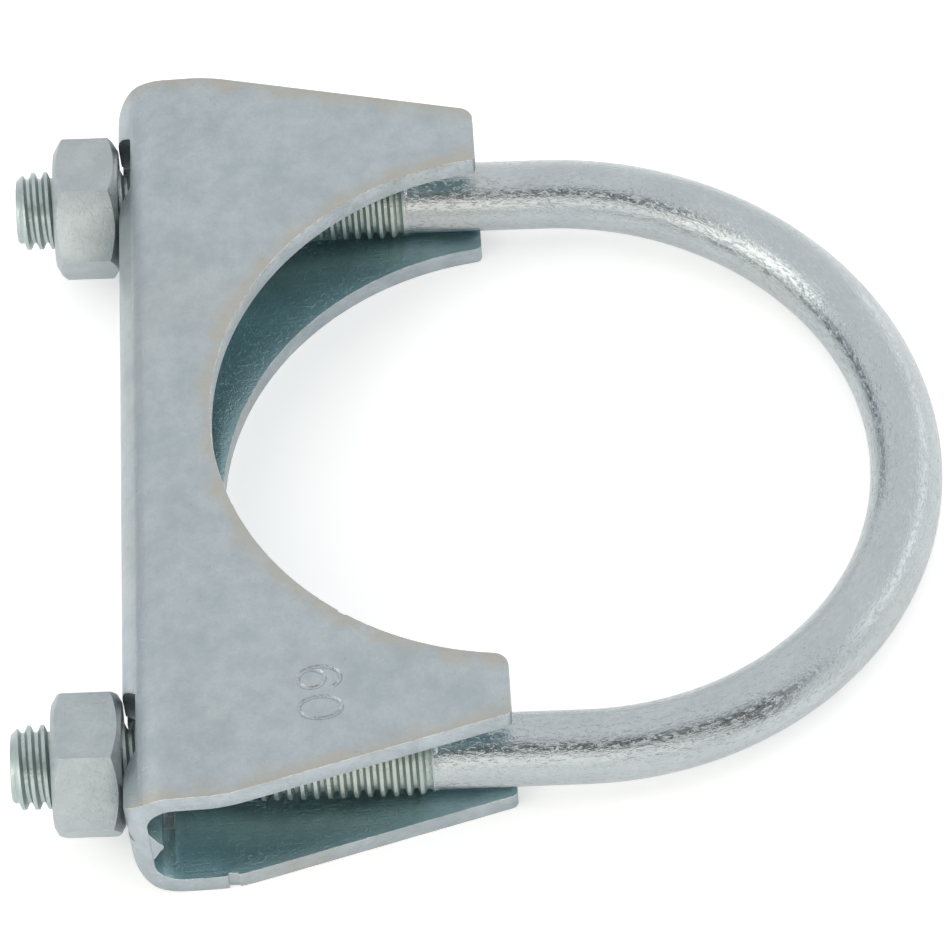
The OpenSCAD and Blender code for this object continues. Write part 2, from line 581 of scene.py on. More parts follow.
def rim_group() -> bpy.types.NodeTree:
    """Makes the group for the saddle's rims, where the passivation is thicker and warmer.

    Returns:
        The group, with the output Rim: 1 at a cut edge of the flanges, 0 from a few millimetres inside it.
    """
    shape = Saddle(Layout.from_frame(frame))
    lay = shape.layout
    group, g, given = new_group("saddle rims", {"Reach": 2.4}, ("Rim",))
    parts = g.add("ShaderNodeSeparateXYZ", Vector=given["Place"]).outputs
    flat = g.add("ShaderNodeCombineXYZ", X=parts["X"], Y=parts["Y"], Z=0.0)
    length = g.add("ShaderNodeVectorMath", {"operation": "LENGTH"})
    g.feed(length.inputs[0], flat.outputs[0])
    to_seat = g.math("SUBTRACT", length.outputs["Value"], lay.pipe_r)
    to_end = g.math("SUBTRACT", lay.end_y, g.math("ABSOLUTE", parts["Y"]))
    beyond = g.math("SUBTRACT", parts["X"], shape.taper_x)
    to_taper = g.math(
        "SUBTRACT",
        g.math("MULTIPLY", to_end, math.cos(shape.taper)),
        g.math("MULTIPLY", beyond, math.sin(shape.taper)),
    )
    nearest = g.math("MINIMUM", g.math("MINIMUM", to_seat, to_end), to_taper)
    wander = g.math("MULTIPLY_ADD", g.noise(given["Place"], 0.4, 6.0, 0.7), 6.0, g.math("SUBTRACT", nearest, 2.8))
    share = g.math("SUBTRACT", 1.0, g.math("DIVIDE", wander, given["Reach"]))
    close_group(g, {"Rim": g.ramp(share, 0.0, 1.0)})
    return group


@dataclass(frozen=True)
class ZincFinish:
    """A zinc-plated surface, dressed with the shared groups.

    Attributes:
        name: Name of the material.
        bright: Colour where the plating is clean.
        shade: Colour of the clouded places.
        tint: Colour of the passivated, warmer places.
        tint_share: How strong the warm tint is.
        rough: Roughness where the plating is clean.
        rough_spread: How much rougher the clouded places are.
        grain: Depth of the fine grain, in millimetres.
        pits: Depth of the pits, in millimetres.
        streaks: How strong the drawing streaks are.
        stretch: Squeeze of the grain along X, 1 for round grains.
        rims: How strong the warm tint is at the saddle's rims.
        place: Attribute that holds the place to read, or empty for the object's own coordinates.
    """

    name: str
    bright: tuple[float, float, float]
    shade: tuple[float, float, float]
    tint: tuple[float, float, float] = (0.46, 0.44, 0.38)
    tint_share: float = 0.3
    rough: float = 0.36
    rough_spread: float = 0.06
    grain: float = 0.01
    pits: float = 0.0
    streaks: float = 0.1
    stretch: float = 1.0
    rims: float = 0.0
    place: str = ""

    def make(self, groups: dict[str, bpy.types.NodeTree]) -> bpy.types.Material:
        """Builds the material.

        Args:
            groups: The shared groups by name.

        Returns:
            The material.
        """
        material = bpy.data.materials.new(self.name)
        material.use_nodes = True
        g = Graph(material.node_tree)
        place = self.read_place(g)
        zinc = g.add("ShaderNodeGroup", {"node_tree": groups["plating"]}, Place=place, Stretch=self.stretch).outputs
        drawn = g.add("ShaderNodeGroup", {"node_tree": groups["streaks"]}, Place=place).outputs
        warm = g.ramp(g.noise(place, 0.05, 3.0, 0.5), 0.45, 0.75, 0.0, self.tint_share)
        if self.rims:
            rims = g.add("ShaderNodeGroup", {"node_tree": groups["rims"]}, Place=place).outputs
            warm = g.math("MULTIPLY_ADD", rims["Rim"], self.rims, warm)
        colour = g.mix(zinc["Clouds"], (*self.bright, 1), (*self.shade, 1))
        colour = g.mix(g.math("MULTIPLY", drawn["Streaks"], self.streaks), colour, (*self.shade, 1))
        colour = g.mix(warm, colour, (*self.tint, 1))
        colour = g.mix(g.math("MULTIPLY", zinc["Specks"], 0.6), colour, (*(c * 0.5 for c in self.shade), 1))
        colour = g.mix(g.ramp(zinc["Grain"], 0.42, 0.62, 0.0, 0.5), colour, (*(c * 0.86 for c in self.bright), 1))
        rough = g.math("MULTIPLY_ADD", zinc["Clouds"], self.rough_spread, self.rough)
        rough = g.math("MULTIPLY_ADD", drawn["Streaks"], self.streaks * 0.12, rough)
        height = g.math("MULTIPLY", g.math("MULTIPLY_ADD", drawn["Scratches"], -self.streaks, zinc["Grain"]), self.grain)
        height = g.math("MULTIPLY_ADD", zinc["Pits"], -self.pits, height)
        bump = g.add("ShaderNodeBump", Height=height, Distance=MM, Strength=1.0)
        shader = g.add(
            "ShaderNodeBsdfPrincipled", Base_Color=colour, Metallic=1.0, Roughness=rough, Normal=bump.outputs[0]
        )
        g.add("ShaderNodeOutputMaterial", Surface=shader.outputs[0])
        return material

    def read_place(self, g: Graph) -> bpy.types.NodeSocket:
        """The place in millimetres, from the object's coordinates or the piece's own attribute."""
        if self.place:
            return g.add("ShaderNodeAttribute", {"attribute_name": self.place}).outputs["Vector"]
        coordinates = g.add("ShaderNodeTexCoord").outputs["Object"]
        scaled = g.add("ShaderNodeVectorMath", {"operation": "SCALE"}, Scale=1 / MM)
        g.feed(scaled.inputs[0], coordinates)
        return scaled.outputs[0]


SHEET = ZincFinish(
    "zinc sheet", (0.430, 0.478, 0.500), (0.345, 0.398, 0.428), tint=(0.42, 0.39, 0.33), tint_share=0.22,
    rough=0.38, grain=0.022, pits=0.014, rims=0.8,
)
# The same zinc as the sheet, with a teal colour that paints the reflection seen inside the fold.
INSIDE = ZincFinish(
    "zinc inside the fold", (0.37, 0.53, 0.56), (0.27, 0.41, 0.45), tint=(0.40, 0.45, 0.46), tint_share=0.3,
    rough=0.28, grain=0.024, pits=0.014, streaks=0.4,
)
SHEARED = ZincFinish(
    "zinc sheared wall", (0.46, 0.51, 0.54), (0.34, 0.39, 0.42), tint=(0.50, 0.44, 0.34), tint_share=0.35,
    rough=0.32, rough_spread=0.1, grain=0.04, pits=0.03, streaks=0.3,
)
# The rounded sheared edges: their bright colour is partly the fresh sheared metal and partly a painted highlight.
EDGE = ZincFinish(
    "zinc bright edge", (0.88, 0.86, 0.80), (0.50, 0.48, 0.43), tint=(0.24, 0.19, 0.14), tint_share=0.85,
    rough=0.18, rough_spread=0.1, grain=0.2, pits=0.2, streaks=0.1,
)
ROD = ZincFinish(
    "zinc rod", (0.455, 0.495, 0.510), (0.400, 0.440, 0.460), tint=(0.46, 0.44, 0.40), tint_share=0.35,
    rough=0.14, rough_spread=0.05, grain=0.046, pits=0.034, streaks=0.25, stretch=0.5, place="rod_place",
)
THREAD = ZincFinish(
    "zinc thread", (0.46, 0.53, 0.52), (0.37, 0.44, 0.43), tint=(0.48, 0.46, 0.38), tint_share=0.4,
    rough=0.34, rough_spread=0.1, grain=0.03, pits=0.02, streaks=0.2, place="rod_place",
)
NUT = ZincFinish(
    "zinc nut", (0.432, 0.476, 0.490), (0.370, 0.414, 0.434), tint_share=0.25,
    rough=0.44, rough_spread=0.06, grain=0.03, pits=0.02,
)
# The nut's rounded edges: brighter partly from wear and partly as a painted highlight.
NUT_RIM_WEAR_AND_HIGHLIGHT = ZincFinish(
    "zinc nut edge", (0.60, 0.64, 0.65), (0.44, 0.48, 0.49), tint=(0.58, 0.54, 0.46), tint_share=0.3,
    rough=0.30, rough_spread=0.1, grain=0.05, pits=0.06,
)


class Finishes:
    """The clamp's materials, made once from the shared groups."""

    def __init__(self) -> None:
        """Makes the groups."""
        self.groups = {"plating": plating_group(), "streaks": streak_group(), "rims": rim_group()}
        self.made: dict[str, bpy.types.Material] = {}

    def get(self, finish: ZincFinish) -> bpy.types.Material:
        """The material of a finish, made at its first use."""
        if finish.name not in self.made:
            self.made[finish.name] = finish.make(self.groups)
        return self.made[finish.name]


# ---- The pieces


@dataclass
class Thread:
    """A metric thread of one pitch, as a closed screw along X.

    Attributes:
        pitch: Distance between crests.
        crest_r: Radius of the flat crests.
        root_r: Radius of the roots.
        crest_flat: Width of a crest.
        root_flat: Width of a root.
        steps: Steps for each turn.
    """

    pitch: float = 1.25
    crest_r: float = 3.97
    root_r: float = 3.34
    crest_flat: float = 0.34
    root_flat: float = 0.34
    steps: int = 48

    def build(self, name: str, start: float, end: float) -> bpy.types.Object:
        """Makes the screw from one place to another, closed by flat ends.

        Its phase depends only on the leg's own X, so two screws on one leg are in mesh.

        Args:
            name: Name of the object.
            start: Where it starts.
            end: Where it ends.

        Returns:
            The screw on the X axis.
        """
        first = math.floor(start / self.pitch) - 1
        turns = math.ceil(end / self.pitch) + 1 - first
        half_crest, half_root = self.crest_flat / 2, self.root_flat / 2
        profile = [
            (0.0, self.crest_r),
            (half_crest, self.crest_r),
            (self.pitch / 2 - half_root, self.root_r),
            (self.pitch / 2, self.root_r - 0.04),
            (self.pitch / 2 + half_root, self.root_r),
            (self.pitch - half_crest, self.crest_r),
            (self.pitch, self.crest_r),
        ]
        mesh = bpy.data.meshes.new(name)
        verts = [(first * self.pitch + x, 0, r) for x, r in profile]
        mesh.from_pydata(verts, [(i, i + 1) for i in range(len(profile) - 1)], [])
        obj = bpy.data.objects.new(name, mesh)
        bpy.context.collection.objects.link(obj)
        apply_modifier(
            obj, "SCREW", axis="X", angle=math.tau, screw_offset=self.pitch, iterations=turns,
            steps=self.steps, render_steps=self.steps, use_merge_vertices=False, use_normal_calculate=True,
        )
        close_up(obj, 1e-3)
        start_edit(obj)
        bisect_all((start, 0, 0), (-1, 0, 0), clear_outer=True, use_fill=True)
        bisect_all((end, 0, 0), (1, 0, 0), clear_outer=True, use_fill=True)
        end_edit()
        close_up(obj, 1e-3)
        return obj


@dataclass
class Saddle:
    """The folded sheet saddle.

    Attributes:
        layout: The clamp's main sizes.
        bend_r: Inside radius of the two bends.
        bend_steps: Steps of each bend.
        bead_h: Height of the bead inside the web.
        bead_w: Width of the bead at its foot.
        crest_w: Width of the bead's crest.
        crease_depth: Depth of the crease outside the web.
        crease_w: Width of that crease.
        end_straight: Length of the end edge that is square to the web.
        taper_blend_r: Radius where that edge turns into the taper.
        heel_r: Radius of the sheet's corners at the web.
        tip_w: Width of each flange tip.
        tip_round_r: Radius of each tip's corner on the left side.
        tip_sharp_r: Radius of each tip's corner on the right side.
        slot_r: Half the length of a slot along the saddle.
        slot_reach: Where a slot cuts the outside of the bends.
        slot_lean: Lean of the slot's two end walls, in degrees.
        edge_w: Width of the worn round on every sheared edge.
        stamp_six: X and Y of the middle of the stamped 6's loop.
        stamp_nought: X and Y of the middle of the stamped 0.
        groove_r: Radius of the stamp's round edge.
        groove_depth: Depth of the stamped strokes.
        torn: Place, size and turn of each torn nick, and 1 for the upper flange or -1 for the lower one.
        past: How far cutting shapes run past the metal.
        corner_steps: Steps of each round corner.
    """

    layout: Layout
    bend_r: float = 2.8
    bend_steps: int = 16
    bead_h: float = 1.1
    bead_w: float = 4.6
    crest_w: float = 1.0
    crease_depth: float = 0.8
    crease_w: float = 1.5
    end_straight: float = 9.5
    taper_blend_r: float = 14.0
    heel_r: float = 2.6
    tip_w: float = 6.6
    tip_round_r: float = 1.5
    tip_sharp_r: float = 0.7
    slot_r: float = 4.7
    slot_reach: float = 6.9
    slot_lean: float = 24.0
    edge_w: float = 0.2
    stamp_six: tuple[float, float] = (-21.1, -31.25)
    stamp_nought: tuple[float, float] = (-20.35, -34.45)
    groove_r: float = 0.26
    groove_depth: float = 0.12
    torn: tuple[tuple[tuple[float, float], tuple[float, float], float, int], ...] = (
        ((-29.9, -43.2), (1.0, 0.5), -4.0, -1),
        ((-17.9, -23.9), (0.9, 0.5), -36.0, 1),
    )
    past: float = 1.0
    corner_steps: int = 10

    def build(self, finishes: Finishes) -> bpy.types.Object:
        """Models the saddle and dresses it.

        Args:
            finishes: The clamp's materials.

        Returns:
            The finished piece.
        """
        obj = self.fold_strip()
        combine(obj, self.blank(), Cut.KEEP)
        for side in Side:
            combine(obj, self.slot(side), Cut.REMOVE)
        for nick in self.nicks():
            combine(obj, nick, Cut.REMOVE)
        self.round_edges(obj)
        for tool in self.stamp():
            combine(obj, tool, Cut.REMOVE)
        stitch(obj)
        self.dress(obj, finishes)
        finish_piece(obj, "saddle", 30)
        return obj

    @property
    def tip_y(self) -> float:
        """Outer corner of a tip."""
        return math.sqrt(self.layout.pipe_r**2 - self.layout.tip_x**2) + self.tip_w

    @property
    def taper_x(self) -> float:
        """Where the taper starts."""
        return self.layout.web_x + self.end_straight

    @property
    def taper(self) -> float:
        """Slope of the tapered edges, in radians."""
        return math.atan2(self.layout.end_y - self.tip_y, self.layout.tip_x - self.taper_x)

    def fold_strip(self) -> bpy.types.Object:
        """The long strip with its bead and crease, folded to a channel.

        Returns:
            The strip, running past the ends and tips of the saddle.
        """
        lay = self.layout
        t = lay.sheet_t
        outer_r = self.bend_r + t
        flat = lay.half_w - outer_r
        length = 2 * (lay.end_y + self.past)
        obj = primitive(
            bpy.ops.mesh.primitive_cube_add, "saddle_sheet", size=1,
            location=(lay.hinge_x, 0, 0), scale=(t, length, 2 * flat),
        )
        start_edit(obj)
        for z in (-self.bead_w / 2, -self.crease_w / 2, 0, self.crease_w / 2, self.bead_w / 2):
            bisect_all((0, 0, z), (0, 0, 1))
        inside = lay.web_x + t
        select_verts(lambda p: abs(p.x - inside) < 0.01 and abs(p.z) < 0.01)
        bpy.ops.transform.translate(value=(self.bead_h + 0.25, 0, 0))
        select_verts(lambda p: abs(p.x - inside) < 0.01 and abs(abs(p.z) - self.crease_w / 2) < 0.01)
        bpy.ops.transform.translate(value=(self.bead_h * 0.72, 0, 0))
        select_verts(lambda p: abs(p.x - lay.web_x) < 0.01 and abs(p.z) < 0.01)
        bpy.ops.transform.translate(value=(self.crease_depth, 0, 0))
        select_edges(lambda a, b: abs(a.z) < 0.01 and abs(b.z) < 0.01 and min(a.x, b.x) > inside)
        bpy.ops.mesh.bevel(offset=self.crest_w / 2, segments=6, affect="EDGES")
        for turn in (1, -1):
            select_faces(lambda p, n: n.z * turn > 0.9 and abs(p.z - turn * flat) < 0.01)
            bpy.ops.mesh.spin(
                steps=self.bend_steps, angle=-turn * math.pi / 2,
                center=(lay.web_x + outer_r, 0, turn * flat), axis=(0, 1, 0),
            )
            select_faces(lambda p, n: n.x > 0.9 and p.z * turn > lay.half_w - t)
            extrude((-lay.web_x - outer_r + self.past, 0, 0))
        end_edit()
        close_up(obj)
        return obj

    def blank(self) -> bpy.types.Object:
        """The blanked outline of both flanges, as a tall closed shape.

        Returns:
            The shape, with the pipe's cut-out.
        """
        lay = self.layout
        corners = [
            (lay.web_x, -lay.end_y), (self.taper_x, -lay.end_y), (lay.tip_x, -self.tip_y),
            (lay.tip_x, self.tip_y), (self.taper_x, lay.end_y), (lay.web_x, lay.end_y),
        ]
        height = lay.half_w + self.past
        obj = primitive(bpy.ops.mesh.primitive_circle_add, "blank", vertices=6, fill_type="NGON")
        for vert, (x, y) in zip(obj.data.vertices, corners):
            vert.co = (x, y, -height)
        start_edit(obj)
        for side, tip_r in ((Side.LEFT, self.tip_round_r), (Side.RIGHT, self.tip_sharp_r)):
            for x, radius, turn in (
                (lay.web_x, self.heel_r, math.pi / 2),
                (self.taper_x, self.taper_blend_r, self.taper),
                (lay.tip_x, tip_r, math.pi / 2 - self.taper),
            ):
                select_verts(lambda p: abs(p.x - x) < 0.01 and p.y * side.value > lay.pipe_r + self.tip_w / 2)
                bpy.ops.mesh.bevel(
                    offset=radius * math.tan(turn / 2), segments=self.corner_steps, affect="VERTICES", profile=0.5
                )
        select_faces(lambda p, n: True)
        extrude((0, 0, 2 * height))
        end_edit()
        close_up(obj)
        combine(obj, self.pipe_cut(), Cut.REMOVE)
        mark_faces(obj, SheetFace.SHEARED.value)
        return obj

    def tip_corner(self, side: Side) -> tuple[Vector, Vector]:
        """The round between a tip's end and the pipe's cut-out.

        Args:
            side: Which tip.

        Returns:
            The round's centre, and the point where it meets the cut-out.
        """
        radius = self.tip_sharp_r if side is Side.LEFT else self.tip_round_r
        pipe_r = self.layout.pipe_r
        x = self.layout.tip_x - radius
        centre = Vector((x, side.value * math.sqrt((pipe_r + radius) ** 2 - x**2), 0))
        return centre, centre * (pipe_r / (pipe_r + radius))

    def pipe_cut(self) -> bpy.types.Object:
        """What the press cuts out for the pipe: a circle that flares round the inner corners of the tips.

        Returns:
            The closed shape.
        """
        lay = self.layout
        low = Vector((0, 0, -lay.half_w - 2 * self.past))
        corners = {side: self.tip_corner(side) for side in Side}
        obj = primitive(
            bpy.ops.mesh.primitive_circle_add, "pipe_cut", vertices=240, radius=lay.pipe_r,
            location=low, fill_type="NOTHING",
        )
        start_edit(obj, "VERT")
        select_verts(lambda p: p.x > corners[Side.LEFT if p.y > 0 else Side.RIGHT][1].x - 0.2)
        bpy.ops.mesh.delete(type="VERT")
        for side, (centre, seat) in corners.items():
            shape = bmesh.from_edit_mesh(obj.data)
            last = max((v for v in shape.verts if v.co.y * side.value > 0), key=lambda v: v.co.x)
            last.co = seat + low
            bmesh.update_edit_mesh(obj.data)
            select_verts(lambda p: (p - seat - low).length < 1e-3)
            turn = math.atan2(abs(seat.y) - abs(centre.y), seat.x - centre.x)
            bpy.ops.mesh.spin(
                steps=self.corner_steps, angle=side.value * turn, center=centre + low, axis=(0, 0, 1)
            )
            select_verts(lambda p: abs(p.x - lay.tip_x) < 1e-2 and abs(p.y - centre.y) < 1e-2)
            extrude((self.past, 0, 0))
        bpy.ops.mesh.select_all(action="SELECT")
        bpy.ops.mesh.remove_doubles(threshold=1e-4)
        bpy.ops.mesh.edge_face_add()
        select_faces(lambda p, n: True)
        extrude(-2 * low)
        end_edit()
        close_up(obj)
        return obj

    def slot(self, side: Side) -> bpy.types.Object:
        """The cutting shape of one leg's slot, long across the saddle, with end walls that lean in.

        Args:
            side: Which leg.

        Returns:
            The closed shape.
        """
        lay = self.layout
        depth = lay.sheet_t + self.bead_h * 2 + self.past
        outside = lay.web_x - self.past
        bend_r = self.bend_r + lay.sheet_t
        drop = bend_r - math.sqrt(bend_r**2 - (self.slot_reach - lay.half_w + bend_r) ** 2)
        lean = math.radians(self.slot_lean)
        reach = self.slot_reach + (drop + self.past) * math.tan(lean)
        obj = primitive(
            bpy.ops.mesh.primitive_cylinder_add, "slot", vertices=64, radius=self.slot_r, depth=depth,
            rotation=(0, math.pi / 2, 0), location=(outside + depth / 2, side.value * lay.leg_y, 0),
        )
        start_edit(obj)
        bisect_all((0, 0, 0), (0, 0, 1))
        for end in (1, -1):
            select_verts(lambda p: end * p.z > 0.01)
            bpy.ops.transform.translate(value=(0, 0, end * (reach - self.slot_r)))
        for end in (1, -1):
            bisect_all(
                (outside, 0, end * reach), (math.sin(lean), 0, end * math.cos(lean)), clear_outer=True, use_fill=True
            )
        end_edit()
        close_up(obj)
        mark_faces(obj, SheetFace.SHEARED.value)
        return obj

    def stamp(self) -> list[bpy.types.Object]:
        """The grooves of the plain pipe size, 60, stamped in the upper flange with the digits' tops towards +X.

        Returns:
            One closed groove shape for each stroke.
        """
        six, nought = self.stamp_six, self.stamp_nought
        return [
            self.groove(six, (1.22, 1.0), 0, 360),
            self.groove((six[0] + 0.75, six[1] + 0.05), (1.97, 1.28), -50, 180),
            self.groove(nought, (2.0, 1.2), 0, 360),
        ]

    def groove(
        self, centre: tuple[float, float], half: tuple[float, float], start: float, end: float
    ) -> bpy.types.Object:
        """A tube along an ellipse or a part of one, sunk in the upper flange's face.

        Args:
            centre: X and Y of the ellipse's centre.
            half: Half its length along X and Y.
            start: Where the stroke starts, in degrees from +X.
            end: Where it ends; 360 more than the start closes it.

        Returns:
            The closed tube.
        """
        obj = primitive(bpy.ops.mesh.primitive_circle_add, "groove", vertices=72, radius=1, fill_type="NOTHING")
        start_edit(obj, "VERT")
        middle, reach = math.radians((start + end) / 2), math.radians((end - start) / 2)
        if end - start < 360:
            select_verts(lambda p: p.angle(Vector((math.cos(middle), math.sin(middle), 0))) > reach + 0.01)
            bpy.ops.mesh.delete(type="VERT")
        end_edit()
        obj.data.transform(
            Matrix.Translation((*centre, self.layout.half_w + self.groove_r - self.groove_depth))
            @ Matrix.Diagonal((*half, 1, 1))
        )
        pick_only(obj)
        bpy.ops.object.convert(target="CURVE")
        obj = bpy.context.object
        obj.data.bevel_depth, obj.data.bevel_resolution, obj.data.use_fill_caps = self.groove_r, 3, True
        bpy.ops.object.convert(target="MESH")
        obj = bpy.context.object
        close_up(obj)
        for _ in SheetFace:
            obj.data.materials.append(None)
        mark_faces(obj, SheetFace.SHEARED.value)
        return obj

    def nicks(self) -> list[bpy.types.Object]:
        """What the press tore out: a step in the lower flange's end edge, and one in the upper cut-out.

        Returns:
            The closed shapes that cut them.
        """
        lay = self.layout
        shapes = []
        for (x, y), (long, deep), turn, end in self.torn:
            obj = primitive(
                bpy.ops.mesh.primitive_cube_add, "nick", size=1, scale=(long, deep, 2 * lay.sheet_t),
                location=(x, y, end * lay.half_w), rotation=(0, 0, math.radians(turn)),
            )
            mark_faces(obj, SheetFace.SHEARED.value)
            shapes.append(obj)
        return shapes

    def round_edges(self, obj: bpy.types.Object) -> None:
        """Tidies the cut mesh and rounds its sheared edges.

        Args:
            obj: The saddle.
        """
        start_edit(obj)
        bpy.ops.mesh.select_all(action="SELECT")
        bpy.ops.mesh.remove_doubles(threshold=0.004)
        bpy.ops.mesh.dissolve_limited(angle_limit=math.radians(0.3), delimit={"MATERIAL"})
        end_edit()
        for index in SheetFace:
            obj.data.materials.append(None) if len(obj.data.materials) <= index.value else None
        # The rounds take the EDGE slot, whose bright finish is partly fresh sheared metal and partly a painted
        # highlight.
        apply_modifier(
            obj, "BEVEL", width=self.edge_w, segments=2, limit_method="ANGLE", angle_limit=math.radians(35),
            material=SheetFace.EDGE.value, use_clamp_overlap=True, miter_outer="MITER_ARC",
        )

    def dress(self, obj: bpy.types.Object, finishes: Finishes) -> None:
        """Puts the sheet's finishes in the mesh's slots, and gives the inside of the fold its own, whose teal colour
        is a painted reflection.

        Args:
            obj: The saddle.
            finishes: The clamp's materials.
        """
        for index, finish in zip(SheetFace, (SHEET, SHEARED, EDGE, INSIDE)):
            obj.data.materials[index.value] = finishes.get(finish)
        inside_x, inside_z = self.layout.web_x + self.layout.sheet_t, self.layout.half_w - self.layout.sheet_t
        # Plated faces deep inside the fold take the finish with the painted teal reflection.
        for face in obj.data.polygons:
            deep = face.center.x > inside_x - 0.01 and abs(face.center.z) < inside_z + 0.01
            if deep and face.material_index == SheetFace.PLATED.value:
                face.material_index = SheetFace.INSIDE.value


@dataclass
class UBolt:
    """The bent rod with its two threaded legs.

    Attributes:
        layout: The clamp's main sizes.
        thread: The rolled thread.
        rod_r: Radius of the plain rod.
        end_s: Ends of the legs, counted from the middle of the web.
        bow_s: Where the bow starts.
        thread_l: Length of the full thread.
        fade: Length over which the thread runs out.
        chamfer: Length of the chamfer at the thread's end.
        end_r: Radius of the thread's end face.
        bridge: Short gap between a thread's ring and the rod's, which the weld fills.
        rod_steps: Corners of the rod's section.
        bow_steps: Steps of the bow.
    """

    layout: Layout
    thread: Thread = field(default_factory=Thread)
    rod_r: float = 3.55
    end_s: float = -11.9
    bow_s: float = 42.3
    thread_l: float = 38.8
    fade: float = 1.6
    chamfer: float = 0.9
    end_r: float = 3.15
    bridge: float = 0.04
    rod_steps: int = 48
    bow_steps: int = 96

    def build(self, finishes: Finishes) -> bpy.types.Object:
        """Models the U-bolt and dresses it.

        Args:
            finishes: The clamp's materials.

        Returns:
            The finished piece.
        """
        rod = self.bend_rod()
        legs = [self.threaded_end(side) for side in Side]
        obj = self.weld(rod, legs)
        self.note_place(obj)
        obj.data.transform(self.layout.bolt_matrix)
        self.dress(obj, finishes)
        finish_piece(obj, "u_bolt", 35)
        return obj

    @property
    def run_out_s(self) -> float:
        """Where the full thread ends."""
        return self.end_s + self.thread_l

    def bend_rod(self) -> bpy.types.Object:
        """The plain rod from run-out to run-out, open at both ends.

        Returns:
            The rod, lying in the XY plane.
        """
        y = self.layout.leg_y
        start = self.run_out_s + self.fade + self.bridge
        obj = primitive(
            bpy.ops.mesh.primitive_circle_add, "u_bolt_rod", vertices=self.rod_steps, radius=self.rod_r,
            location=(start, y, 0), rotation=(0, math.pi / 2, 0), fill_type="NOTHING",
        )
        start_edit(obj, "EDGE")
        bpy.ops.mesh.select_all(action="SELECT")
        extrude((self.bow_s - start, 0, 0))
        bpy.ops.mesh.spin(steps=self.bow_steps, angle=math.pi, center=(self.bow_s, 0, 0), axis=(0, 0, 1))
        extrude((start - self.bow_s, 0, 0))
        end_edit()
        return obj

    def threaded_end(self, side: Side) -> bpy.types.Object:
        """One thread with its chamfered end and its run-out, open where it meets the rod.

        Args:
            side: Which leg.

        Returns:
            The thread, in the plane of the rod.
        """
        obj = self.thread.build(f"u_bolt_thread_{side.name.lower()}", self.end_s, self.run_out_s + self.fade)
        cone = (self.thread.crest_r - self.end_r) / self.chamfer
        for vert in obj.data.vertices:
            radius = math.hypot(vert.co.y, vert.co.z)
            if radius < 1:
                continue
            limit = self.end_r + (vert.co.x - self.end_s) * cone
            faded = (vert.co.x - self.run_out_s + self.thread.pitch / 2) / (self.fade + self.thread.pitch / 2)
            blend = min(max(faded, 0.0), 1.0)
            target = min(radius, max(limit, 0.1)) * (1 - blend) + self.rod_r * blend
            vert.co.yz = (vert.co.y * target / radius, vert.co.z * target / radius)
        start_edit(obj)
        select_faces(lambda p, n: p.x > self.run_out_s + self.fade - 1e-3 and n.x > 0.99)
        bpy.ops.mesh.delete(type="FACE")
        end_edit()
        obj.data.transform(Matrix.Translation((0, side.value * self.layout.leg_y, 0)))
        return obj

    def weld(self, rod: bpy.types.Object, legs: list[bpy.types.Object]) -> bpy.types.Object:
        """Joins the threads to the rod by bridging their open rings.

        Args:
            rod: The bent rod.
            legs: The two threaded ends.

        Returns:
            The closed U-bolt.
        """
        start = self.run_out_s + self.fade
        pick_only(rod)
        for leg in legs:
            leg.select_set(True)
        bpy.ops.object.join()
        start_edit(rod, "EDGE")
        for side in Side:
            bpy.ops.mesh.select_all(action="DESELECT")
            shape = bmesh.from_edit_mesh(rod.data)
            for edge in shape.edges:
                ends = [v.co for v in edge.verts]
                edge.select_set(
                    len(edge.link_faces) == 1
                    and all(abs(p.x - start) < 0.06 and p.y * side.value > 0 for p in ends)
                )
            bmesh.update_edit_mesh(rod.data)
            bpy.ops.mesh.bridge_edge_loops()
        bpy.ops.mesh.select_all(action="SELECT")
        bpy.ops.mesh.normals_make_consistent(inside=False)
        end_edit()
        rod.name = "u_bolt_zinc"
        return rod

    def note_place(self, obj: bpy.types.Object) -> None:
        """Keeps, for the streaks, each point's place on the straightened rod.

        Args:
            obj: The U-bolt, before it is dropped into place.
        """
        y0 = self.layout.leg_y
        places = []
        for vert in obj.data.vertices:
            x, y, z = vert.co
            if x <= self.bow_s:
                along, across = x, (abs(y) - y0)
                if y < 0:
                    along = 2 * self.bow_s + math.pi * y0 - x
            else:
                angle = math.atan2(x - self.bow_s, y)
                along, across = self.bow_s + angle * y0, math.hypot(x - self.bow_s, y) - y0
            places.extend((along, across, z))
        attribute = obj.data.attributes.new("rod_place", "FLOAT_VECTOR", "POINT")
        attribute.data.foreach_set("vector", places)

    def dress(self, obj: bpy.types.Object, finishes: Finishes) -> None:
        """Gives the thread and the plain rod their finishes.

        Args:
            obj: The U-bolt in its place.
            finishes: The clamp's materials.
        """
        obj.data.materials.clear()
        obj.data.materials.append(finishes.get(ROD))
        obj.data.materials.append(finishes.get(THREAD))
        back = self.layout.leg_matrix(Side.LEFT).inverted()
        for face in obj.data.polygons:
            face.material_index = int((back @ face.center).x < self.run_out_s + self.fade / 2)


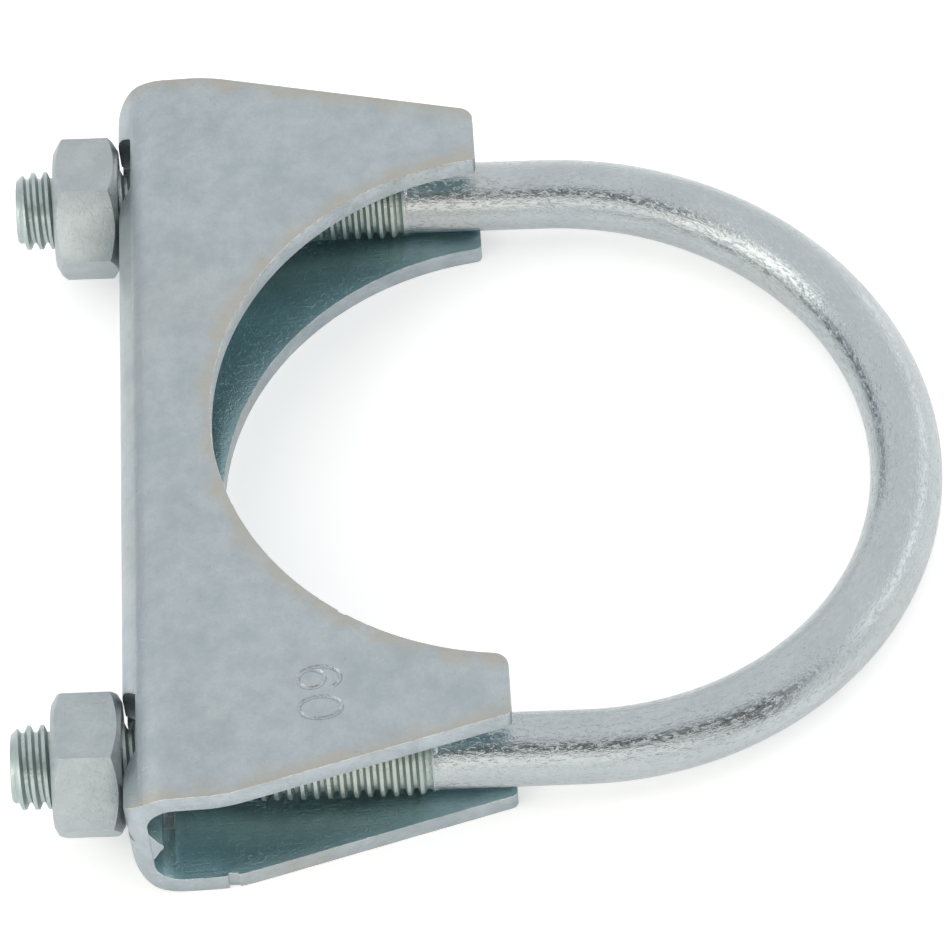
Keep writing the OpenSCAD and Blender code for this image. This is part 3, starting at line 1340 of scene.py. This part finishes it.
@dataclass
class Nut:
    """One hex nut.

    Attributes:
        layout: The clamp's main sizes.
        side: The leg that it is on.
        turn: Its turn about the leg, in degrees.
        flats: Width across the flats.
        height: Thickness.
        outer_s: Outer face, counted from the middle of the web.
        face_r: Radius of the flat ring left by the chamfers.
        slope: Slope of the chamfers, in degrees.
        sink_r: Radius of the countersinks.
        play: Room between the threads, on the radius.
        edge_w: Width of the worn round on its edges.
    """

    layout: Layout
    side: Side
    turn: float
    flats: float = 13.0
    height: float = 6.6
    outer_s: float = -8.0
    face_r: float = 5.85
    slope: float = 30.0
    sink_r: float = 4.45
    play: float = 0.06
    edge_w: float = 0.42

    def build(self, finishes: Finishes) -> bpy.types.Object:
        """Models the nut and dresses it.

        Args:
            finishes: The clamp's materials.

        Returns:
            The finished piece.
        """
        obj = self.blank()
        combine(obj, self.chamfer_body(), Cut.KEEP)
        self.round_edges(obj)
        combine(obj, self.tap(), Cut.REMOVE)
        for end in (0, 1):
            combine(obj, self.countersink(end), Cut.REMOVE)
        close_up(obj, 1e-3)
        obj.data.transform(self.layout.leg_matrix(self.side))
        obj.data.materials[0] = finishes.get(NUT)
        obj.data.materials[1] = finishes.get(NUT_RIM_WEAR_AND_HIGHLIGHT)
        finish_piece(obj, self.side.node, 32)
        return obj

    def blank(self) -> bpy.types.Object:
        """The plain hexagon, on the leg's axis, with two corners up and down where its turn is 0."""
        obj = primitive(
            bpy.ops.mesh.primitive_cylinder_add, f"{self.side.node}_zinc", vertices=6,
            radius=self.flats / 2 / math.cos(math.pi / 6), depth=self.height,
            location=(self.outer_s + self.height / 2, 0, 0), rotation=(0, math.pi / 2, 0),
        )
        obj.data.transform(Matrix.Rotation(math.radians(self.turn + 90), 4, "X"))
        return obj

    def chamfer_body(self) -> bpy.types.Object:
        """The turned body whose cones cut the hexagon's corners.

        Returns:
            The closed body.
        """
        outer_r = self.flats / 2 / math.cos(math.pi / 6) + self.edge_w
        rise = (outer_r - self.face_r) * math.tan(math.radians(self.slope))
        obj = primitive(
            bpy.ops.mesh.primitive_circle_add, "chamfer_body", vertices=144, radius=self.face_r,
            location=(self.outer_s, 0, 0), rotation=(0, math.pi / 2, 0), fill_type="NGON",
        )
        start_edit(obj)
        scale = outer_r / self.face_r
        for step, factor in ((rise, scale), (self.height - 2 * rise, 1.0), (rise, 1 / scale)):
            select_faces(lambda p, n: p.x > self.outer_s - 0.01 and abs(n.x) > 0.99 and p.x >= self.far_x())
            extrude((step, 0, 0))
            bpy.ops.transform.resize(value=(1, factor, factor), center_override=(0, 0, 0))
        end_edit()
        close_up(obj)
        return obj

    @staticmethod
    def far_x() -> float:
        """Place of the furthest face along X of the edited mesh."""
        shape = bmesh.from_edit_mesh(bpy.context.object.data)
        return max(vert.co.x for vert in shape.verts) - 1e-3

    def tap(self) -> bpy.types.Object:
        """The screw that leaves the nut's own thread, in mesh with the leg's."""
        base = Thread()
        tap = Thread(crest_r=base.crest_r + self.play, root_r=base.root_r + self.play,
                     crest_flat=base.crest_flat + self.play, root_flat=base.root_flat - self.play)
        return tap.build("tap", self.outer_s - 1, self.outer_s + self.height + 1)

    def countersink(self, end: int) -> bpy.types.Object:
        """The cone that opens the thread at one end.

        Args:
            end: 0 for the outer face, 1 for the face at the saddle.

        Returns:
            The closed cone.
        """
        past = 0.5
        depth = self.sink_r + past
        face = self.outer_s + end * self.height
        toward = 1 if end == 0 else -1
        return primitive(
            bpy.ops.mesh.primitive_cone_add, "countersink", vertices=96, radius1=self.sink_r + past, radius2=0,
            depth=depth, location=(face + toward * (depth / 2 - past), 0, 0),
            rotation=(0, toward * math.pi / 2, 0),
        )

    def round_edges(self, obj: bpy.types.Object) -> None:
        """Rounds the hexagon's edges, as plating and wear leave them. The rounds take the second slot, whose brighter
        finish is partly wear and partly a painted highlight.

        Args:
            obj: The nut.
        """
        for _ in range(2):
            obj.data.materials.append(None)
        apply_modifier(
            obj, "BEVEL", width=self.edge_w, segments=4, limit_method="ANGLE", angle_limit=math.radians(20),
            material=1,
        )


# ---- The photographer's table


@dataclass(frozen=True)
class SoftBox:
    """A soft panel that faces the clamp or hangs over it.

    Attributes:
        name: Name of the light.
        centre: Its middle, in millimetres.
        faces: Direction in which it shines.
        width: Its width, in millimetres.
        height: Its height, in millimetres.
        glow: Its brightness, where 1 is white.
        tint: Its colour.
    """

    name: str
    centre: tuple[float, float, float]
    faces: tuple[float, float, float]
    width: float
    height: float
    glow: float
    tint: tuple[float, float, float] = (1.0, 1.0, 1.0)

    def hang(self) -> None:
        """Adds the panel to the scene."""
        data = bpy.data.lights.new(self.name, "AREA")
        data.shape = "RECTANGLE"
        data.size, data.size_y = self.width * MM, self.height * MM
        data.energy = self.glow * math.pi * data.size * data.size_y
        data.color = self.tint
        light = bpy.data.objects.new(self.name, data)
        bpy.context.collection.objects.link(light)
        light.location = Vector(self.centre) * MM
        light.rotation_euler = Vector(self.faces).to_track_quat("-Z", "Y").to_euler()


@dataclass
class Studio:
    """Floor, lights and camera.

    Attributes:
        layout: The clamp's main sizes.
        turn: Rotation vector of the camera fitted to the photograph.
        shift: Sideways place of the clamp before the camera, in millimetres.
        distance: Distance of the camera, in millimetres.
        focal_px: Focal length in pixels of the photograph.
        image_px: Width of the photograph in pixels.
        room: Brightness of the white room round the table.
        panels: The soft panels.
    """

    layout: Layout
    turn: tuple[float, float, float] = (-0.6243, -0.0299, 0.0645)
    shift: tuple[float, float] = (4.6163, 2.9794)
    distance: float = 446.3832
    focal_px: float = 4537.9
    image_px: float = 950.0
    room: float = 0.14
    panels: tuple[SoftBox, ...] = (
        SoftBox("ceiling", (0, 1140, 600), (0, 0, -1), 3000, 2720, 0.95),
        SoftBox("panel_back", (0, 2500, 330), (0, -1, 0), 3600, 640, 0.90),
        SoftBox("panel_before", (0, -1000, 490), (0, 1, 0), 1700, 900, 1.45, (1.0, 0.97, 0.91)),
        SoftBox("panel_nuts", (-1100, -750, 700), (1, 0, 0), 1300, 1300, 2.2, (1.0, 0.97, 0.90)),
        SoftBox("panel_left", (-1100, 1050, 340), (1, 0, 0), 2300, 600, 0.30, (0.86, 0.92, 1.0)),
        SoftBox("panel_bow", (1500, 700, 500), (-1, 0, 0), 3600, 1000, 1.0, (1.0, 0.99, 0.96)),
    )

    def build(self) -> None:
        """Sets up the whole studio."""
        bpy.context.scene.view_settings.view_transform = "Standard"
        self.floor()
        self.light_room()
        for panel in self.panels:
            panel.hang()
        self.camera()

    def floor(self) -> None:
        """A wide pale table under the clamp, lit a little from below as a product table is."""
        obj = primitive(
            bpy.ops.mesh.primitive_grid_add, "table", x_subdivisions=4, y_subdivisions=4, size=4000,
            location=(0, 0, -self.layout.half_w - 0.02),
        )
        obj.data.transform(Matrix.Scale(MM, 4))
        material = bpy.data.materials.new("pale table")
        material.use_nodes = True
        shader = material.node_tree.nodes["Principled BSDF"]
        shader.inputs["Base Color"].default_value = (0.93, 0.93, 0.93, 1)
        shader.inputs["Roughness"].default_value = 0.9
        shader.inputs["Emission Color"].default_value = (1.0, 1.0, 1.0, 1)
        shader.inputs["Emission Strength"].default_value = 0.35
        obj.data.materials.append(material)

    def light_room(self) -> None:
        """An even, dim white room."""
        world = bpy.data.worlds.new("studio")
        bpy.context.scene.world = world
        world.use_nodes = True
        background = world.node_tree.nodes["Background"]
        background.inputs["Color"].default_value = (0.93, 0.97, 1.0, 1)
        background.inputs["Strength"].default_value = self.room

    def camera(self) -> None:
        """The camera where the photographer held it."""
        turn = Vector(self.turn)
        seen = Matrix.Rotation(turn.length, 3, turn.normalized())
        data = bpy.data.cameras.new("camera")
        data.sensor_width = 36.0
        data.lens = data.sensor_width * self.focal_px / self.image_px
        data.clip_start, data.clip_end = 0.01, 10
        camera = bpy.data.objects.new("camera", data)
        bpy.context.collection.objects.link(camera)
        back = seen.transposed()
        place = back @ Vector((-self.shift[0], -self.shift[1], self.distance)) * MM
        camera.matrix_world = Matrix.Translation(place) @ back.to_4x4()
        bpy.context.scene.camera = camera


def main() -> None:
    """Builds the clamp piece by piece, then the studio."""
    logging.basicConfig(level=logging.INFO, format="%(name)s: %(message)s")
    layout = Layout.from_frame(frame)
    finishes = Finishes()
    Saddle(layout).build(finishes)
    UBolt(layout).build(finishes)
    Nut(layout, Side.LEFT, 25).build(finishes)
    Nut(layout, Side.RIGHT, 27).build(finishes)
    Studio(layout).build()


if __name__ == "__main__":
    main()
